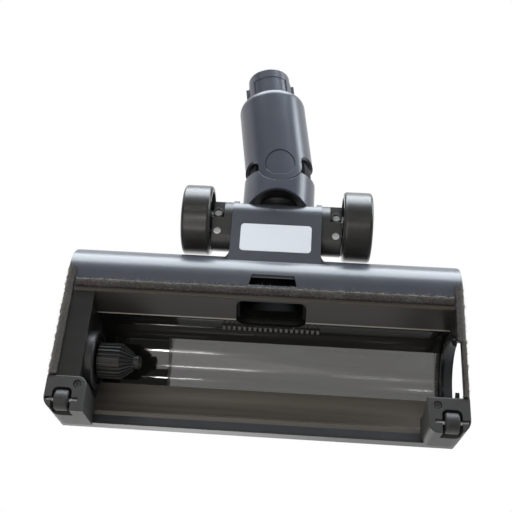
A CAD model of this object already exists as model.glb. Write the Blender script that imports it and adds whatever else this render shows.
import bpy
import numpy as np
from mathutils import Matrix, Vector


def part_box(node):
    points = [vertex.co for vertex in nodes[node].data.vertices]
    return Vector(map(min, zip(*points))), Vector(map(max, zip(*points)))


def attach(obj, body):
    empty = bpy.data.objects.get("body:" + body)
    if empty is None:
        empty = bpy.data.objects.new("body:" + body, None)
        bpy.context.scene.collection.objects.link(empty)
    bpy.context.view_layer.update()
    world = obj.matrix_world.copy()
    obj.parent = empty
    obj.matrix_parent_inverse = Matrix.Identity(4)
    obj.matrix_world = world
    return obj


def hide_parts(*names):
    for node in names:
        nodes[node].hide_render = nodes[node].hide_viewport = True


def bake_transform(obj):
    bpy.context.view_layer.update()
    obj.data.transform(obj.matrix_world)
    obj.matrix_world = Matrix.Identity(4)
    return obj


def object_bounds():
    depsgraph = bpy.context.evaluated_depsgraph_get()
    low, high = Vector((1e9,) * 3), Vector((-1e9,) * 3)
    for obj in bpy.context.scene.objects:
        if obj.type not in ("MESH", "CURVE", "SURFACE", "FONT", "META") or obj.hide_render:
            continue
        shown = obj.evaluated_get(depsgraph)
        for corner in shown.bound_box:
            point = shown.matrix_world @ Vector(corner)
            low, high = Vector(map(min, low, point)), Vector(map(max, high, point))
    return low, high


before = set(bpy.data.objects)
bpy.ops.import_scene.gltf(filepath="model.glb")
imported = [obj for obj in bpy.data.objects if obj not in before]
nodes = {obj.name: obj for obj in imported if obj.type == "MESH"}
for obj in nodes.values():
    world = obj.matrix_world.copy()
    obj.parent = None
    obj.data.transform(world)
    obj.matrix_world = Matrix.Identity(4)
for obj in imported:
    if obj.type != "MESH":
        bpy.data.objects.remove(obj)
cad_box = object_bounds()

# Viewpoint: the photographer looks at the underside from in front of the nozzle, a little to its
# open-end side, so the camera is below the floor plane and looks up and back.
front_y = cad_box[0][1]
eye = Vector((-0.01893, front_y - 0.13594, -0.46855))
eye_right = Vector((-0.99761, 0.06671, 0.01796))
eye_up = Vector((0.05059, 0.88250, -0.46758))
eye_view = Vector((0.04704, 0.46556, 0.88377))


def add(name, data):
    """A new object in the scene."""
    thing = bpy.data.objects.new(name, data)
    bpy.context.scene.collection.objects.link(thing)
    return thing


def stand(thing, place, right, up, back):
    """Puts an object at a place, with its x, y and z axes along three directions."""
    thing.matrix_world = Matrix.Translation(place) @ Matrix((right, up, back)).transposed().to_4x4()


camera_data = bpy.data.cameras.new("camera")
camera_data.sensor_width = 36.0
camera_data.lens = 56.25
camera_data.clip_start = 0.01
camera = add("camera", camera_data)
stand(camera, eye, eye_right, eye_up, -eye_view)
bpy.context.scene.camera = camera

# Body mouldings: hood and lower housing, injection moulded in blue-grey ABS with a fine satin grain;
# snapped together along the parting line round the sides. Inside the roller chamber they are dark and
# browned by dust, and edges that things rub against are paler.


def effect_group(name, outputs, **inputs):
    """An empty shader node group of plain numbers; inputs map names to defaults."""
    group = bpy.data.node_groups.new(name, "ShaderNodeTree")
    for label, default in inputs.items():
        socket = group.interface.new_socket(label, in_out="INPUT", socket_type="NodeSocketFloat")
        socket.default_value = default
    for label in outputs:
        group.interface.new_socket(label, in_out="OUTPUT", socket_type="NodeSocketFloat")
    source = group.nodes.new("NodeGroupInput")
    sink = group.nodes.new("NodeGroupOutput")
    return group, source, sink


def put(tree, kind, settings=None, **links):
    """Adds one node; links map input names, or numbers written as _0, to sockets or plain values."""
    node = tree.nodes.new(kind)
    for key, value in (settings or {}).items():
        setattr(node, key, value)
    for key, value in links.items():
        socket = node.inputs[int(key[1:]) if key[0] == "_" else key]
        if isinstance(value, bpy.types.NodeSocket):
            tree.links.new(value, socket)
        else:
            socket.default_value = value
    return node


def calc(tree, operation, *values):
    """The result of one math node on sockets or plain numbers."""
    numbered = {f"_{index}": value for index, value in enumerate(values)}
    return put(tree, "ShaderNodeMath", {"operation": operation}, **numbered).outputs[0]


def vector_calc(tree, operation, result, *values):
    """One result of a vector math node on sockets or plain vectors."""
    numbered = {f"_{index}": value for index, value in enumerate(values)}
    return put(tree, "ShaderNodeVectorMath", {"operation": operation}, **numbered).outputs[result]


def ramp(tree, value, start, end, low=0.0, high=1.0, curve="LINEAR"):
    """Takes a value that runs from start to end to one that runs from low to high, held at both ends."""
    return put(tree, "ShaderNodeMapRange", {"interpolation_type": curve}, Value=value, _1=start, _2=end,
               _3=low, _4=high).outputs[0]


def mixed(tree, share, first, second, blend="MIX"):
    """Two colours mixed by a share; with MULTIPLY, the first one times the second."""
    return put(tree, "ShaderNodeMix", {"data_type": "RGBA", "blend_type": blend}, _0=share, _6=first,
               _7=second).outputs[2]


def part_place(tree):
    """The shaded point in the part's frame, in metres."""
    return put(tree, "ShaderNodeTexCoord").outputs["Object"]


def stretched(tree, along, across):
    """The shaded point scaled for a noise of scale 1 that is drawn out along the width."""
    return put(tree, "ShaderNodeMapping", Vector=part_place(tree),
               Scale=(along, across, across)).outputs[0]


def noise(tree, place, scale, detail, roughness=0.5):
    """A cloudy noise from 0 to 1."""
    return put(tree, "ShaderNodeTexNoise", Vector=place, Scale=scale, Detail=detail,
               Roughness=roughness).outputs["Fac"]


grain_group, grain_in, grain_out = effect_group("moulded_grain", ("Height", "Tone"), Scale=900.0,
                                                Mottle=0.12)
place = part_place(grain_group)
fine = noise(grain_group, place, scale=grain_in.outputs["Scale"], detail=3.0, roughness=0.6)
cloud = noise(grain_group, place, scale=26.0, detail=4.0, roughness=0.55)
spread = calc(grain_group, "SUBTRACT", cloud, 0.5)
mottled = calc(grain_group, "MULTIPLY_ADD", spread, grain_in.outputs["Mottle"], 1.0)
grain_group.links.new(fine, grain_out.inputs["Height"])
grain_group.links.new(mottled, grain_out.inputs["Tone"])

bevel_samples = 4
wear_group, wear_in, wear_out = effect_group("edge_wear", ("Mask",), Width=0.0006, Amount=0.5)
flat = put(wear_group, "ShaderNodeNewGeometry")
soft = put(wear_group, "ShaderNodeBevel", {"samples": bevel_samples}, Radius=wear_in.outputs["Width"])
facing = vector_calc(wear_group, "DOT_PRODUCT", "Value", flat.outputs["Normal"], soft.outputs["Normal"])
edge = ramp(wear_group, facing, start=0.995, end=0.85)
rub = noise(wear_group, part_place(wear_group), scale=160.0, detail=5.0, roughness=0.65)
rubbed = ramp(wear_group, rub, start=0.38, end=0.62, low=0.25)
worn_edge = calc(wear_group, "MULTIPLY", edge, rubbed)
shown = calc(wear_group, "MULTIPLY", worn_edge, wear_in.outputs["Amount"])
wear_group.links.new(shown, wear_out.inputs["Mask"])

dust_group, dust_in, dust_out = effect_group("handling_dust", ("Mask",), Amount=0.2)
place = part_place(dust_group)
films = noise(dust_group, place, scale=55.0, detail=6.0, roughness=0.7)
film = ramp(dust_group, films, start=0.5, end=0.75, high=0.6)
specks = put(dust_group, "ShaderNodeTexVoronoi", Vector=place, Scale=320.0)
speck = ramp(dust_group, specks.outputs["Distance"], start=0.10, end=0.02)
either = calc(dust_group, "MAXIMUM", speck, film)
dusted = calc(dust_group, "MULTIPLY", either, dust_in.outputs["Amount"])
dust_group.links.new(dusted, dust_out.inputs["Mask"])

dust_grey, dust_dulls = (150, 148, 144), 0.5
rubbed_gain, rubbed_lift = 1.9, 0.05
edge_round, grain_strength = 0.0004, 0.35


def linear(colour):
    """Scene-linear value of a colour written as 0-255 display values."""
    c = np.asarray(colour, float) / 255.0
    return tuple(np.where(c <= 0.04045, c / 12.92, ((c + 0.055) / 1.055) ** 2.4)) + (1.0,)


def blank(name):
    """A new material, with its node tree and its shader."""
    material = bpy.data.materials.new(name)
    material.use_nodes = True
    return material, material.node_tree, material.node_tree.nodes["Principled BSDF"]


def tune(material, label, value):
    """Sets one plain input of a material's shader."""
    material.node_tree.nodes["Principled BSDF"].inputs[label].default_value = value


def moulded(name, colour, roughness, grain=900.0, depth=0.00004, mottle=0.12, wear=0.3, dust=0.15,
            specular=0.5):
    """Moulded plastic: mottled colour, pale rubbed edges, a film of dust, and a fine grain as bump."""
    material, tree, shader = blank(name)
    tune(material, "Specular IOR Level", specular)
    surface = put(tree, "ShaderNodeGroup", {"node_tree": grain_group}, Scale=grain, Mottle=mottle)
    edges = put(tree, "ShaderNodeGroup", {"node_tree": wear_group}, Amount=wear).outputs["Mask"]
    dusty = put(tree, "ShaderNodeGroup", {"node_tree": dust_group}, Amount=dust).outputs["Mask"]
    base = linear(colour)
    pale = tuple(np.minimum(np.array(base[:3]) * rubbed_gain + rubbed_lift, 1.0)) + (1.0,)
    toned = mixed(tree, 1.0, base, surface.outputs["Tone"], "MULTIPLY")
    used = mixed(tree, dusty, mixed(tree, edges, toned, pale), linear(dust_grey))
    tree.links.new(used, shader.inputs["Base Color"])
    duller = calc(tree, "MULTIPLY_ADD", dusty, dust_dulls, roughness)
    tree.links.new(calc(tree, "MULTIPLY", duller, surface.outputs["Tone"]), shader.inputs["Roughness"])
    rounded = put(tree, "ShaderNodeBevel", {"samples": bevel_samples}, Radius=edge_round)
    bump = put(tree, "ShaderNodeBump", Strength=grain_strength, Distance=depth,
               Height=surface.outputs["Height"], Normal=rounded.outputs[0])
    tree.links.new(bump.outputs["Normal"], shader.inputs["Normal"])
    return material


def dress(material, *names):
    """Puts a finish on CAD pieces by name."""
    for name in names:
        for slot in nodes[name].material_slots:
            slot.material = material


roller_y, roller_z, liner_r = front_y + 0.041, 0.0245, 0.0347
chamber_open_x, chamber_drive_x = -0.1238, 0.1098
strip_x, above_z, beyond = 0.1293, 0.06, 1.0
lip_y, lip_z = front_y + 0.0817, 0.0056
neck_x, inlet_half = -0.006, 0.0231


def refinish(material, mask, colour, roughness):
    """Another colour and polish where a mask is set, smeared along the width by a stretched noise."""
    tree = material.node_tree
    shader = tree.nodes["Principled BSDF"]
    smears = noise(tree, stretched(tree, along=6.0, across=110.0), scale=1.0, detail=4.0)
    smear = ramp(tree, smears, start=0.3, end=0.7, low=0.75, high=1.25)
    tone = mixed(tree, 1.0, linear(colour), smear, "MULTIPLY")
    outer = shader.inputs["Base Color"].links[0].from_socket
    tree.links.new(mixed(tree, mask, outer, tone), shader.inputs["Base Color"])
    satin = shader.inputs["Roughness"].links[0].from_socket
    finish = put(tree, "ShaderNodeMix", {"data_type": "FLOAT"}, _0=mask, _2=satin, _3=roughness)
    tree.links.new(finish.outputs[0], shader.inputs["Roughness"])


def inside_box(material, low, high):
    """Mask of a box in the part's frame: on each axis the distance from its middle is under half its
    size."""
    tree = material.node_tree
    place = put(tree, "ShaderNodeSeparateXYZ", _0=part_place(tree))
    mask = 1.0
    for axis in range(3):
        middle, half = (low[axis] + high[axis]) / 2, (high[axis] - low[axis]) / 2
        mask = calc(tree, "MULTIPLY", mask, calc(tree, "COMPARE", place.outputs[axis], middle, half))
    return mask


def inside_round(material, reach, x_span):
    """Mask of the roller chamber: nearer to the roller's axis than reach, between two ends."""
    tree = material.node_tree
    from_axis = vector_calc(tree, "SUBTRACT", 0, part_place(tree), (0.0, roller_y, roller_z))
    crosswise = vector_calc(tree, "MULTIPLY", 0, from_axis, (0.0, 1.0, 1.0))
    near = calc(tree, "LESS_THAN", vector_calc(tree, "LENGTH", "Value", crosswise), reach)
    between = inside_box(material, (x_span[0], -beyond, -beyond), (x_span[1], beyond, beyond))
    return calc(tree, "MULTIPLY", near, between)


housing_grey = moulded("housing_grey", (70, 73, 80), 0.28, wear=0.25, dust=0.06, specular=0.7)
housing_faces = {
    "strips and inside": ((-strip_x, front_y, 0.0), (strip_x, lip_y, above_z), (30, 30, 28), 0.34),
    "rear wall": ((chamber_open_x, front_y + 0.055, lip_z), (chamber_drive_x, lip_y, above_z),
                  (38, 35, 31), 0.38),
    "rear lip": ((chamber_open_x, lip_y - 0.0006, 0.0), (-chamber_open_x, lip_y + 0.0021, lip_z),
                 (84, 80, 74), 0.30),
    "ledge": ((chamber_open_x, lip_y - 0.0105, 0.0192), (chamber_drive_x, lip_y - 0.007, 0.0202),
              (150, 146, 138), 0.25),
    "inlet": ((neck_x - inlet_half, lip_y - 0.011, 0.0066), (neck_x + inlet_half, lip_y + 0.006, 0.0288),
              (13, 13, 12), 0.4),
}
for low, high, colour, roughness in housing_faces.values():
    refinish(housing_grey, inside_box(housing_grey, low, high), colour, roughness)
dress(housing_grey, "main_housing")

hood_grey = moulded("hood_grey", (52, 54, 57), 0.34, wear=0.2, dust=0.06, specular=0.35)
hood_inside = inside_round(hood_grey, liner_r, (chamber_open_x, chamber_drive_x))
refinish(hood_grey, hood_inside, (108, 103, 96), 0.16)
front_lip = inside_box(hood_grey, (chamber_open_x, front_y + 0.0006, 0.0),
                       (-chamber_open_x, front_y + 0.02, 0.0334))
refinish(hood_grey, front_lip, (47, 46, 43), 0.55)
dress(hood_grey, "hood")

# Window: smoked clear pane, polished on both faces and streaked by cleaning along its length; slid in
# under the edges of the hood's opening.
clean_smoke, streaked_smoke = (58, 57, 55), (150, 149, 146)
clean_polish, streaked_polish = 0.07, 0.30
clean_cover, streaked_cover = 0.68, 0.80
streak_weight, fully_wiped = 0.30, 0.5
smoked, tree, shader = blank("smoked_pane")
streaks = noise(tree, stretched(tree, along=7.0, across=260.0), scale=1.0, detail=5.0, roughness=0.6)
streak = ramp(tree, streaks, start=0.52, end=0.78)
hazes = noise(tree, part_place(tree), scale=22.0, detail=3.0)
haze = ramp(tree, hazes, start=0.35, end=0.75, high=0.25)
wiped = calc(tree, "MULTIPLY_ADD", streak, streak_weight, haze)
smoke = mixed(tree, wiped, linear(clean_smoke), linear(streaked_smoke))
polish = ramp(tree, wiped, 0.0, fully_wiped, clean_polish, streaked_polish)
cover = ramp(tree, wiped, 0.0, fully_wiped, clean_cover, streaked_cover)
tree.links.new(smoke, shader.inputs["Base Color"])
tree.links.new(polish, shader.inputs["Roughness"])
tree.links.new(cover, shader.inputs["Alpha"])
dress(smoked, "window")

# Chamber liner: polished black moulding pushed in behind and beside the pane. The comb and the duct
# behind it are matt mouldings held by the housing; the comb's teeth are rubbed pale.
comb_teeth_r = 0.0311
liner_black = moulded("liner_black", (24, 24, 22), 0.06, grain=400.0, depth=0.000004, wear=0.05,
                      dust=0.02, specular=1.0)
tune(liner_black, "Coat Weight", 0.6)
dress(liner_black, "chamber_liner")
duct_black = moulded("duct_black", (14, 14, 13), 0.45, wear=0.05, dust=0.02, specular=0.15)
dress(duct_black, "inlet_duct")
comb_grey = moulded("comb_grey", (34, 34, 32), 0.4, wear=0.2, dust=0.1)
refinish(comb_grey, inside_round(comb_grey, comb_teeth_r, (-beyond, beyond)), (106, 104, 99), 0.5)
dress(comb_grey, "hair_comb")

# Front corner blocks: matt dark mouldings that carry the front rollers, each screwed to the body. The
# ring pressed into the open end is glossier and nearly black.
sole_grey = moulded("sole_grey", (66, 66, 65), 0.48, wear=0.35, dust=0.1, specular=0.3)
dress(sole_grey, "corner_block_left", "corner_block_right")
collar_black = moulded("collar_black", (22, 22, 23), 0.2, wear=0.25, dust=0.05)
dress(collar_black, "end_collar")

# Front rollers: dark rubber on plain steel pins that snap into open grooves. The same bright steel is in
# the axle pins, the bearing and the carrier's screws; the blocks' cross-head screws are blackened.
roller_rubber = moulded("roller_rubber", (52, 52, 52), 0.5, wear=0.2, dust=0.2)
dress(roller_rubber, "front_roller_left", "front_roller_right")
plain_steel = moulded("plain_steel", (232, 232, 233), 0.30, mottle=0.2, wear=0.1, dust=0.05)
tune(plain_steel, "Metallic", 0.25)
dress(plain_steel, "roller_pin_left", "roller_pin_right", "carrier_screws", "axle_pin_left",
      "axle_pin_right", "coupling_bearing")
dark_steel = moulded("dark_steel", (62, 62, 63), 0.4, mottle=0.2, wear=0.4, dust=0.05)
dress(dark_steel, "block_screws")

# Felt strips: pressed wool felt cut in bands and glued under the rear lip and the side strips. Use has
# frayed them, so their cut edges are paler and fibres stand out of them.
felt_edge, felt_sides, felt_step = 0.42, 28, 0.0009
felt_end_gap, felt_side_gap, pole_reach = 0.0006, 0.0002, 0.0004
ripple_waves, ripple_pitch, ripple_twist = 8, (250, 1700), 3
frayed_swell, firm_swell, under_swell, under_side = 0.0009, 0.00035, 0.00022, 0.2
rim_start, rim_power, rim_pale, rim_speckle = 0.2, 3, 0.5, (0.3, 1.0)
fibres_per_metre, fibre_r, fibre_top, fray_pull, cut_start = 9000.0, 0.00009, 0.55, 1.1, 0.6
fibre_shape, fibre_scale, fibre_shortest, fibre_longest = 2.0, 0.00035, 0.0003, 0.0026
fibre_drift, fibre_droop, fibre_lift, fibre_scatter, fibre_bend = 0.7, 0.7, 0.1, 0.45, 0.5
fibre_tones, inner_tone_power, cut_tone_power, cut_longer = (0.05, 0.9), 2.2, 1.7, 0.5
needle_spokes, needle_points, knee_at, knee_taper = (0.0, 2.0944, 4.1888), 7, 0.55, 0.8
oblique = np.array([0.31, 0.53, 0.79])
floor_gap, glue_gap = 0.0003, 0.0002
rear_worn_off = 0.0012
opening_y, opening_x, opening_slope = (front_y + 0.02245, front_y + 0.05955), -0.1268, 0.0015
felt_grey = moulded("felt_grey", (62, 59, 56), 0.95, grain=1500.0, depth=0.0003, mottle=0.7, wear=0.0,
                    dust=0.25, specular=0.1)
fibre_pale = (190, 187, 181)
tree = felt_grey.node_tree
shader = tree.nodes["Principled BSDF"]
strand = put(tree, "ShaderNodeAttribute", {"attribute_name": "fibre"})
tufts = noise(tree, part_place(tree), scale=750.0, detail=2.0)
tuft = ramp(tree, tufts, start=0.35, end=0.65, low=0.72, high=1.28)
pressed = shader.inputs["Base Color"].links[0].from_socket
wool = mixed(tree, 1.0, pressed, tuft, "MULTIPLY")
tree.links.new(mixed(tree, strand.outputs["Fac"], wool, linear(fibre_pale)), shader.inputs["Base Color"])


def fibre_needles(rng, root, across, upward, cut, hair, top_z):
    """Fibres as bent three-sided needles, one per root: three points at the root, three at a knee a
    little over halfway, and a tip. They lean away from the band, and their lengths follow a gamma
    distribution, half as long again where cut is 1."""
    count = len(root)
    drift = rng.normal(0, fibre_drift, count)
    out = np.stack([across, drift, fibre_droop * np.minimum(upward, fibre_lift)], -1)
    out = out + rng.normal(0, fibre_scatter, (count, 3))
    out = out / np.linalg.norm(out, axis=1, keepdims=True)
    length = rng.gamma(fibre_shape, fibre_scale, count) * (1 + cut_longer * cut)
    reach = hair * length.clip(fibre_shortest, fibre_longest)[:, None]
    bend = rng.normal(0, fibre_bend, (count, 3)) * reach
    knee = root + knee_at * reach * out
    tip = root + reach * out + bend
    lean = np.cross(out, oblique)
    lean = lean / np.linalg.norm(lean, axis=1, keepdims=True)
    other = np.cross(out, lean)
    spokes = [np.cos(angle) * lean + np.sin(angle) * other for angle in needle_spokes]
    needle = np.stack([root + fibre_r * spoke for spoke in spokes]
                      + [knee + knee_taper * fibre_r * spoke for spoke in spokes] + [tip], 1)
    needle[..., 2] = needle[..., 2].clip(floor_gap, top_z - glue_gap)
    return needle


def felt_band(name, lies_across, along, low_edge, high_edge, z_span, fray, hair, worn, seed):
    """A felt band as one mesh. Its section is a square with rounded corners (cosine and sine raised to
    felt_edge), carried along x or y between two edges and roughened by a sum of sine waves; the ends
    close on a pole. Most fibres, and the longest and palest, are on the cut edge on the side of fray,
    and the band itself turns paler towards that edge, from worn up."""
    rng = np.random.default_rng(seed)
    rings = len(along)
    middle, half_width = (high_edge + low_edge) / 2, (high_edge - low_edge) / 2
    mid_z, half_height = (z_span[0] + z_span[1]) / 2, (z_span[1] - z_span[0]) / 2
    turn_u = np.linspace(0, 2 * np.pi, felt_sides, endpoint=False)
    across = np.sign(np.cos(turn_u)) * np.abs(np.cos(turn_u)) ** felt_edge
    upward = np.sign(np.sin(turn_u)) * np.abs(np.sin(turn_u)) ** felt_edge
    phase = rng.uniform(0, 2 * np.pi, (ripple_waves, 2))
    pitch = rng.uniform(*ripple_pitch, ripple_waves)
    ripple = sum(np.sin(pitch[k] * along[:, None] + ripple_twist * phase[k, 0] * np.cos(turn_u)[None]
                        + phase[k, 1]) for k in range(ripple_waves)) / ripple_waves
    swell = np.where(fray * across > 0, frayed_swell, firm_swell)
    w = middle[:, None] + half_width[:, None] * across[None] + swell * ripple * across[None]
    h = mid_z + half_height * upward[None] + under_swell * ripple * (upward[None] < under_side)
    band = np.stack([w, along[:, None] + 0 * w, h], -1)
    poles = np.array([[middle[0], along[0] - pole_reach, mid_z],
                      [middle[-1], along[-1] + pole_reach, mid_z]])
    grid = np.arange(rings * felt_sides).reshape(rings, felt_sides)
    around = np.roll(grid, -1, axis=1)
    quads = np.stack([grid[:-1], grid[1:], around[1:], around[:-1]], -1).reshape(-1, 4)
    first = np.stack([grid[0], around[0], np.full(felt_sides, grid.size)], -1)
    last = np.stack([around[-1], grid[-1], np.full(felt_sides, grid.size + 1)], -1)

    count = int(fibres_per_metre * (along[-1] - along[0]))
    ring = rng.integers(1, rings - 1, count)
    lower = np.flatnonzero(upward < fibre_top)
    odds = np.exp(fray_pull * fray * across[lower])
    side = lower[rng.choice(len(lower), count, p=odds / odds.sum())]
    cut = (fray * across[side] > cut_start).astype(float)
    needle = fibre_needles(rng, band[ring, side], across[side], upward[side], cut, hair,
                           mid_z + half_height)
    base = grid.size + 2 + needle_points * np.arange(count)[:, None, None]
    needle_walls = (base + np.array([[0, 1, 4, 3], [1, 2, 5, 4], [2, 0, 3, 5]])).reshape(-1, 4)
    needle_caps = (base + np.array([[3, 4, 6], [4, 5, 6], [5, 3, 6], [2, 1, 0]])).reshape(-1, 3)

    points = np.concatenate([band.reshape(-1, 3), poles, needle.reshape(-1, 3)])
    faces = [face for part in (quads, needle_walls, first, last, needle_caps) for face in part.tolist()]
    if lies_across:
        points = points[:, [1, 0, 2]]
        faces = [face[::-1] for face in faces]
    mesh = bpy.data.meshes.new(name)
    mesh.from_pydata(points.tolist(), [], faces)
    rim = np.clip((fray * across + rim_start) / (1 + rim_start), 0, 1) ** rim_power
    band_tint = worn + rim_pale * rim[None] * rng.uniform(*rim_speckle, (rings, felt_sides))
    fibre_tint = rng.uniform(*fibre_tones, count) ** (inner_tone_power - cut_tone_power * cut)
    tint = np.concatenate([band_tint.ravel(), np.full(2, worn), np.repeat(fibre_tint, needle_points)])
    mesh.attributes.new("fibre", "FLOAT", "POINT").data.foreach_set("value", tint.astype(np.float32))
    mesh.materials.append(felt_grey)
    return add(name, mesh)


for name, node, fray, hair, worn, seed in (
    ("felt_band_rear", "felt_rear", 1, 1.0, 0.0, 3),
    ("felt_band_left", "felt_left", 1, 0.55, 0.06, 5),
    ("felt_band_right", "felt_right", -1, 0.55, 0.06, 8),
):
    low, high = (np.array(corner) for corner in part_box(node))
    lies_across = node == "felt_rear"
    long_axis, cross_axis = (0, 1) if lies_across else (1, 0)
    along = np.arange(low[long_axis] + felt_end_gap, high[long_axis] - felt_end_gap, felt_step)
    low_edge = np.full_like(along, low[cross_axis] + felt_side_gap)
    high_edge = np.full_like(along, high[cross_axis] - felt_side_gap)
    if node == "felt_rear":
        high_edge = high_edge - rear_worn_off
    if node == "felt_right":
        past_start = np.clip((along - opening_y[0]) / opening_slope, 0, 1)
        before_end = np.clip((opening_y[1] - along) / opening_slope, 0, 1)
        high_edge = high_edge - past_start * before_end * (high[0] - opening_x)
    band = felt_band(name, lies_across, along, low_edge, high_edge, (low[2], high[2]), fray, hair, worn,
                     seed)
    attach(band, "head")
    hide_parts(node)

# Roller drive: coupling, flange and pulley in glass-filled black nylon, worn pale on the ribs. Behind
# them, out of sight, are a rubber belt, a zinc-plated motor with its pinion, and a green circuit board.
coupling_black = moulded("coupling_black", (34, 34, 34), 0.42, wear=0.6, dust=0.1)
dress(coupling_black, "drive_coupling", "drive_flange", "drive_pulley")
belt_black = moulded("belt_black", (20, 20, 20), 0.7)
dress(belt_black, "drive_belt")
motor_zinc = moulded("motor_zinc", (150, 150, 150), 0.4, mottle=0.25)
dress(motor_zinc, "motor", "motor_pinion")
board_green = moulded("board_green", (20, 74, 44), 0.35)
dress(board_green, "control_board")

# Rear carrier: two blue-grey mouldings screwed together round the axle pins, with darker wings that
# carry the dark plastic wheels. A bare white label is stuck on underneath.
wings_x = (-beyond, -0.0372), (0.0252, beyond)
carrier_grey = moulded("carrier_grey", (72, 75, 82), 0.30, wear=0.25, dust=0.06, specular=0.7)
for low_x, high_x in wings_x:
    wing = inside_box(carrier_grey, (low_x, -beyond, -beyond), (high_x, beyond, beyond))
    refinish(carrier_grey, wing, (50, 50, 50), 0.4)
dress(carrier_grey, "carrier_lower", "carrier_upper")
label_white = moulded("label_white", (222, 226, 231), 0.5, mottle=0.03, wear=0.0, dust=0.03)
dress(label_white, "label")
wheel_grey = moulded("wheel_grey", (46, 45, 43), 0.32, wear=0.3, dust=0.1, specular=0.7)
dress(wheel_grey, "wheel_left", "wheel_right")

# Yoke: round collar moulded with two arms that turn on the axle pins; a dark cuff inside it holds the
# hose. The turning tube is moulded in the same plastic and hangs on two capped pivot pins. The plug end
# closes it, with brass contacts in a black block.
neck_grey = moulded("neck_grey", (72, 76, 86), 0.28, wear=0.2, dust=0.05, specular=0.5)
dress(neck_grey, "yoke", "neck_shell", "pivot_pin_lower", "pivot_pin_upper", "spigot")
sleeve_black = moulded("sleeve_black", (20, 20, 21), 0.6, wear=0.05, dust=0.05, specular=0.25)
dress(sleeve_black, "neck_sleeve", "hose_cuff", "contact_block")
contact_brass = moulded("contact_brass", (196, 160, 86), 0.3)
tune(contact_brass, "Metallic", 1.0)
dress(contact_brass, "contact_pins")

# Hose: soft corrugated tube blow-moulded in black rubber, pushed on the duct at one end and into the
# cuff at the other, so it bends when the neck tips up.
hose_ridges, ridge_steps, hose_sides = 9, 16, 64
hose_wall, groove_depth, groove_power, hose_gap = 0.0012, 0.0021, 0.7, 0.00005
hose_low, hose_high = (np.array(corner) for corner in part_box("hose"))
hose_mid = (hose_low + hose_high) / 2
hose_r = (hose_high[2] - hose_low[2]) / 2
step_v = np.linspace(0, 1, hose_ridges * ridge_steps + 1)
turn_u = np.linspace(0, 2 * np.pi, hose_sides, endpoint=False)


def hose_surface():
    """Closed skin of the hose: the radius swings between ridge and groove as a cosine of the length,
    once per ridge, flattened by a power; the same wave one wall further in, run backwards, is the
    bore."""
    wave = 0.5 - 0.5 * np.cos(2 * np.pi * hose_ridges * step_v)
    outside = hose_r - groove_depth * (1 - wave ** groove_power) - hose_gap
    radius = np.concatenate([outside, (outside - hose_wall)[::-1]])
    length = np.concatenate([step_v, step_v[::-1]])
    y = hose_low[1] + (hose_high[1] - hose_low[1]) * length
    return np.stack([hose_mid[0] + radius[:, None] * np.cos(turn_u), y[:, None] + 0 * turn_u,
                     hose_mid[2] + radius[:, None] * np.sin(turn_u)], -1)


skin = hose_surface()
grid = np.arange(skin.shape[0] * hose_sides).reshape(skin.shape[0], hose_sides)
ahead, beside = np.roll(grid, -1, axis=0), np.roll(grid, -1, axis=1)
hose_faces = np.stack([grid, ahead, np.roll(ahead, -1, axis=1), beside], -1).reshape(-1, 4)
hose_mesh = bpy.data.meshes.new("hose_skin")
hose_mesh.from_pydata(skin.reshape(-1, 3).tolist(), [], hose_faces.tolist())
hose_mesh.polygons.foreach_set("use_smooth", np.ones(len(hose_mesh.polygons), bool))
hose_rubber = moulded("hose_rubber", (36, 36, 37), 0.5, grain=700.0, wear=0.0, dust=0.15)
hose_mesh.materials.append(hose_rubber)
hose_skin = add("hose_skin", hose_mesh)
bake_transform(hose_skin)
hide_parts("hose")

# Stage: a pale floor that is only seen from above and fades to white, white surroundings that are darker
# below the horizon, where the room is, and soft lamps above and below.
floor_half, floor_tone, floor_roughness = 4, 0.8, 0.8
fade_start, fade_end = 0.22, 0.85
floor_mesh = bpy.data.meshes.new("floor")
floor_corners = [(floor_half * x, floor_half * y, 0) for x, y in ((-1, -1), (1, -1), (1, 1), (-1, 1))]
floor_mesh.from_pydata(floor_corners, [], [(0, 1, 2, 3)])
floor = add("floor", floor_mesh)
floor_pale, tree, shader = blank("floor_pale")
tune(floor_pale, "Base Color", (floor_tone, floor_tone, floor_tone, 1))
tune(floor_pale, "Roughness", floor_roughness)
from_middle = vector_calc(tree, "LENGTH", "Value", part_place(tree))
fade = ramp(tree, from_middle, fade_start, fade_end, curve="SMOOTHSTEP")
white = put(tree, "ShaderNodeEmission", Color=(1, 1, 1, 1), Strength=1.0)
faded = put(tree, "ShaderNodeMixShader", _0=fade, _1=shader.outputs[0], _2=white.outputs[0])
from_below = put(tree, "ShaderNodeNewGeometry").outputs["Backfacing"]
clear = put(tree, "ShaderNodeBsdfTransparent")
one_sided = put(tree, "ShaderNodeMixShader", _0=from_below, _1=faded.outputs[0], _2=clear.outputs[0])
tree.links.new(one_sided.outputs[0], tree.nodes["Material Output"].inputs["Surface"])
floor_mesh.materials.append(floor_pale)
floor.visible_diffuse = False
floor.visible_glossy = False
floor.visible_transmission = False
floor.visible_shadow = False

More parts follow.
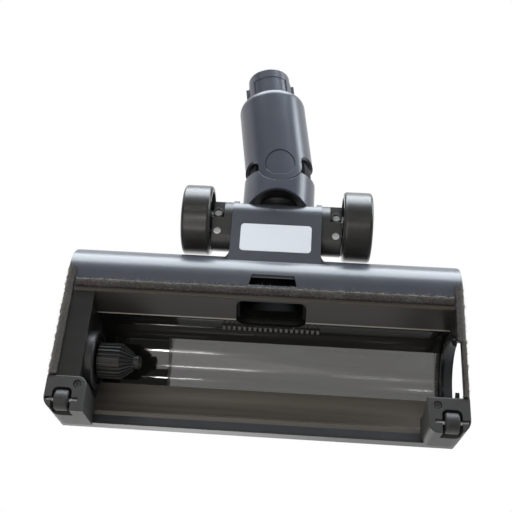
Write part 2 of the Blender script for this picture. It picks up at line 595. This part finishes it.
world = bpy.data.worlds.new("surroundings")
bpy.context.scene.world = world
world.use_nodes = True
tree = world.node_tree
sky = tree.nodes["Background"]
way = put(tree, "ShaderNodeTexCoord")
rise = put(tree, "ShaderNodeSeparateXYZ", _0=way.outputs["Generated"]).outputs["Z"]
lit_level = ramp(tree, rise, start=0.0, end=0.5, low=0.36, high=0.75, curve="SMOOTHSTEP")
seen_level = ramp(tree, rise, start=-0.25, end=-0.03, low=0.06, curve="SMOOTHSTEP")
ray = put(tree, "ShaderNodeLightPath")
clear_view = calc(tree, "MAXIMUM", ray.outputs["Is Camera Ray"], ray.outputs["Is Transmission Ray"])
any_view = calc(tree, "MAXIMUM", clear_view, ray.outputs["Is Glossy Ray"])
strength = put(tree, "ShaderNodeMix", {"data_type": "FLOAT"}, _0=any_view, _2=lit_level, _3=seen_level)
tree.links.new(strength.outputs[0], sky.inputs["Strength"])
sky.inputs["Color"].default_value = (1, 1, 1, 1)

lamp_aim = Vector((0.0, 0.0, 0.03))
daylight, warm_light = (0.86, 0.93, 1.0), (1.0, 0.96, 0.90)
tube_light, plain_light = (1.0, 0.98, 0.95), (1.0, 1.0, 1.0)
for name, spot, wide, high, power, tint in (
    ("lamp_rear", (0.065, 1.27, -0.28), 1.5, 0.92, 38.0, daylight),
    ("lamp_side", (-0.96, 0.71, -0.12), 0.60, 0.30, 6.0, daylight),
    ("lamp_front", (0.40, -0.60, -0.95), 0.9, 0.9, 2.4, warm_light),
    ("tube_front_left", (0.145, -0.408, -1.094), 0.19, 0.035, 0.60, tube_light),
    ("tube_front_right", (-0.22, -0.373, -1.10), 0.085, 0.035, 0.28, tube_light),
    ("tube_rear_left", (0.22, 0.179, -1.097), 0.09, 0.035, 0.30, tube_light),
    ("tube_rear_right", (-0.319, 0.083, -1.11), 0.07, 0.035, 0.24, tube_light),
    ("tube_low", (0.21, -1.0, -0.69), 0.13, 0.06, 0.70, tube_light),
    ("lamp_above", (0.2, 0.2, 1.3), 1.2, 1.2, 9.0, plain_light),
):
    lamp_data = bpy.data.lights.new(name, "AREA")
    lamp_data.shape = "RECTANGLE"
    lamp_data.size = wide
    lamp_data.size_y = high
    lamp_data.energy = power
    lamp_data.color = tint
    lamp = add(name, lamp_data)
    lamp.visible_camera = False
    away = (Vector(spot) - lamp_aim).normalized()
    upright = Vector((0.0, 1.0, 0.0)) if name.startswith("tube") else Vector((0.0, 0.0, 1.0))
    across = upright.cross(away).normalized()
    stand(lamp, spot, across, away.cross(across), away)

bpy.context.scene.view_settings.view_transform = "Standard"
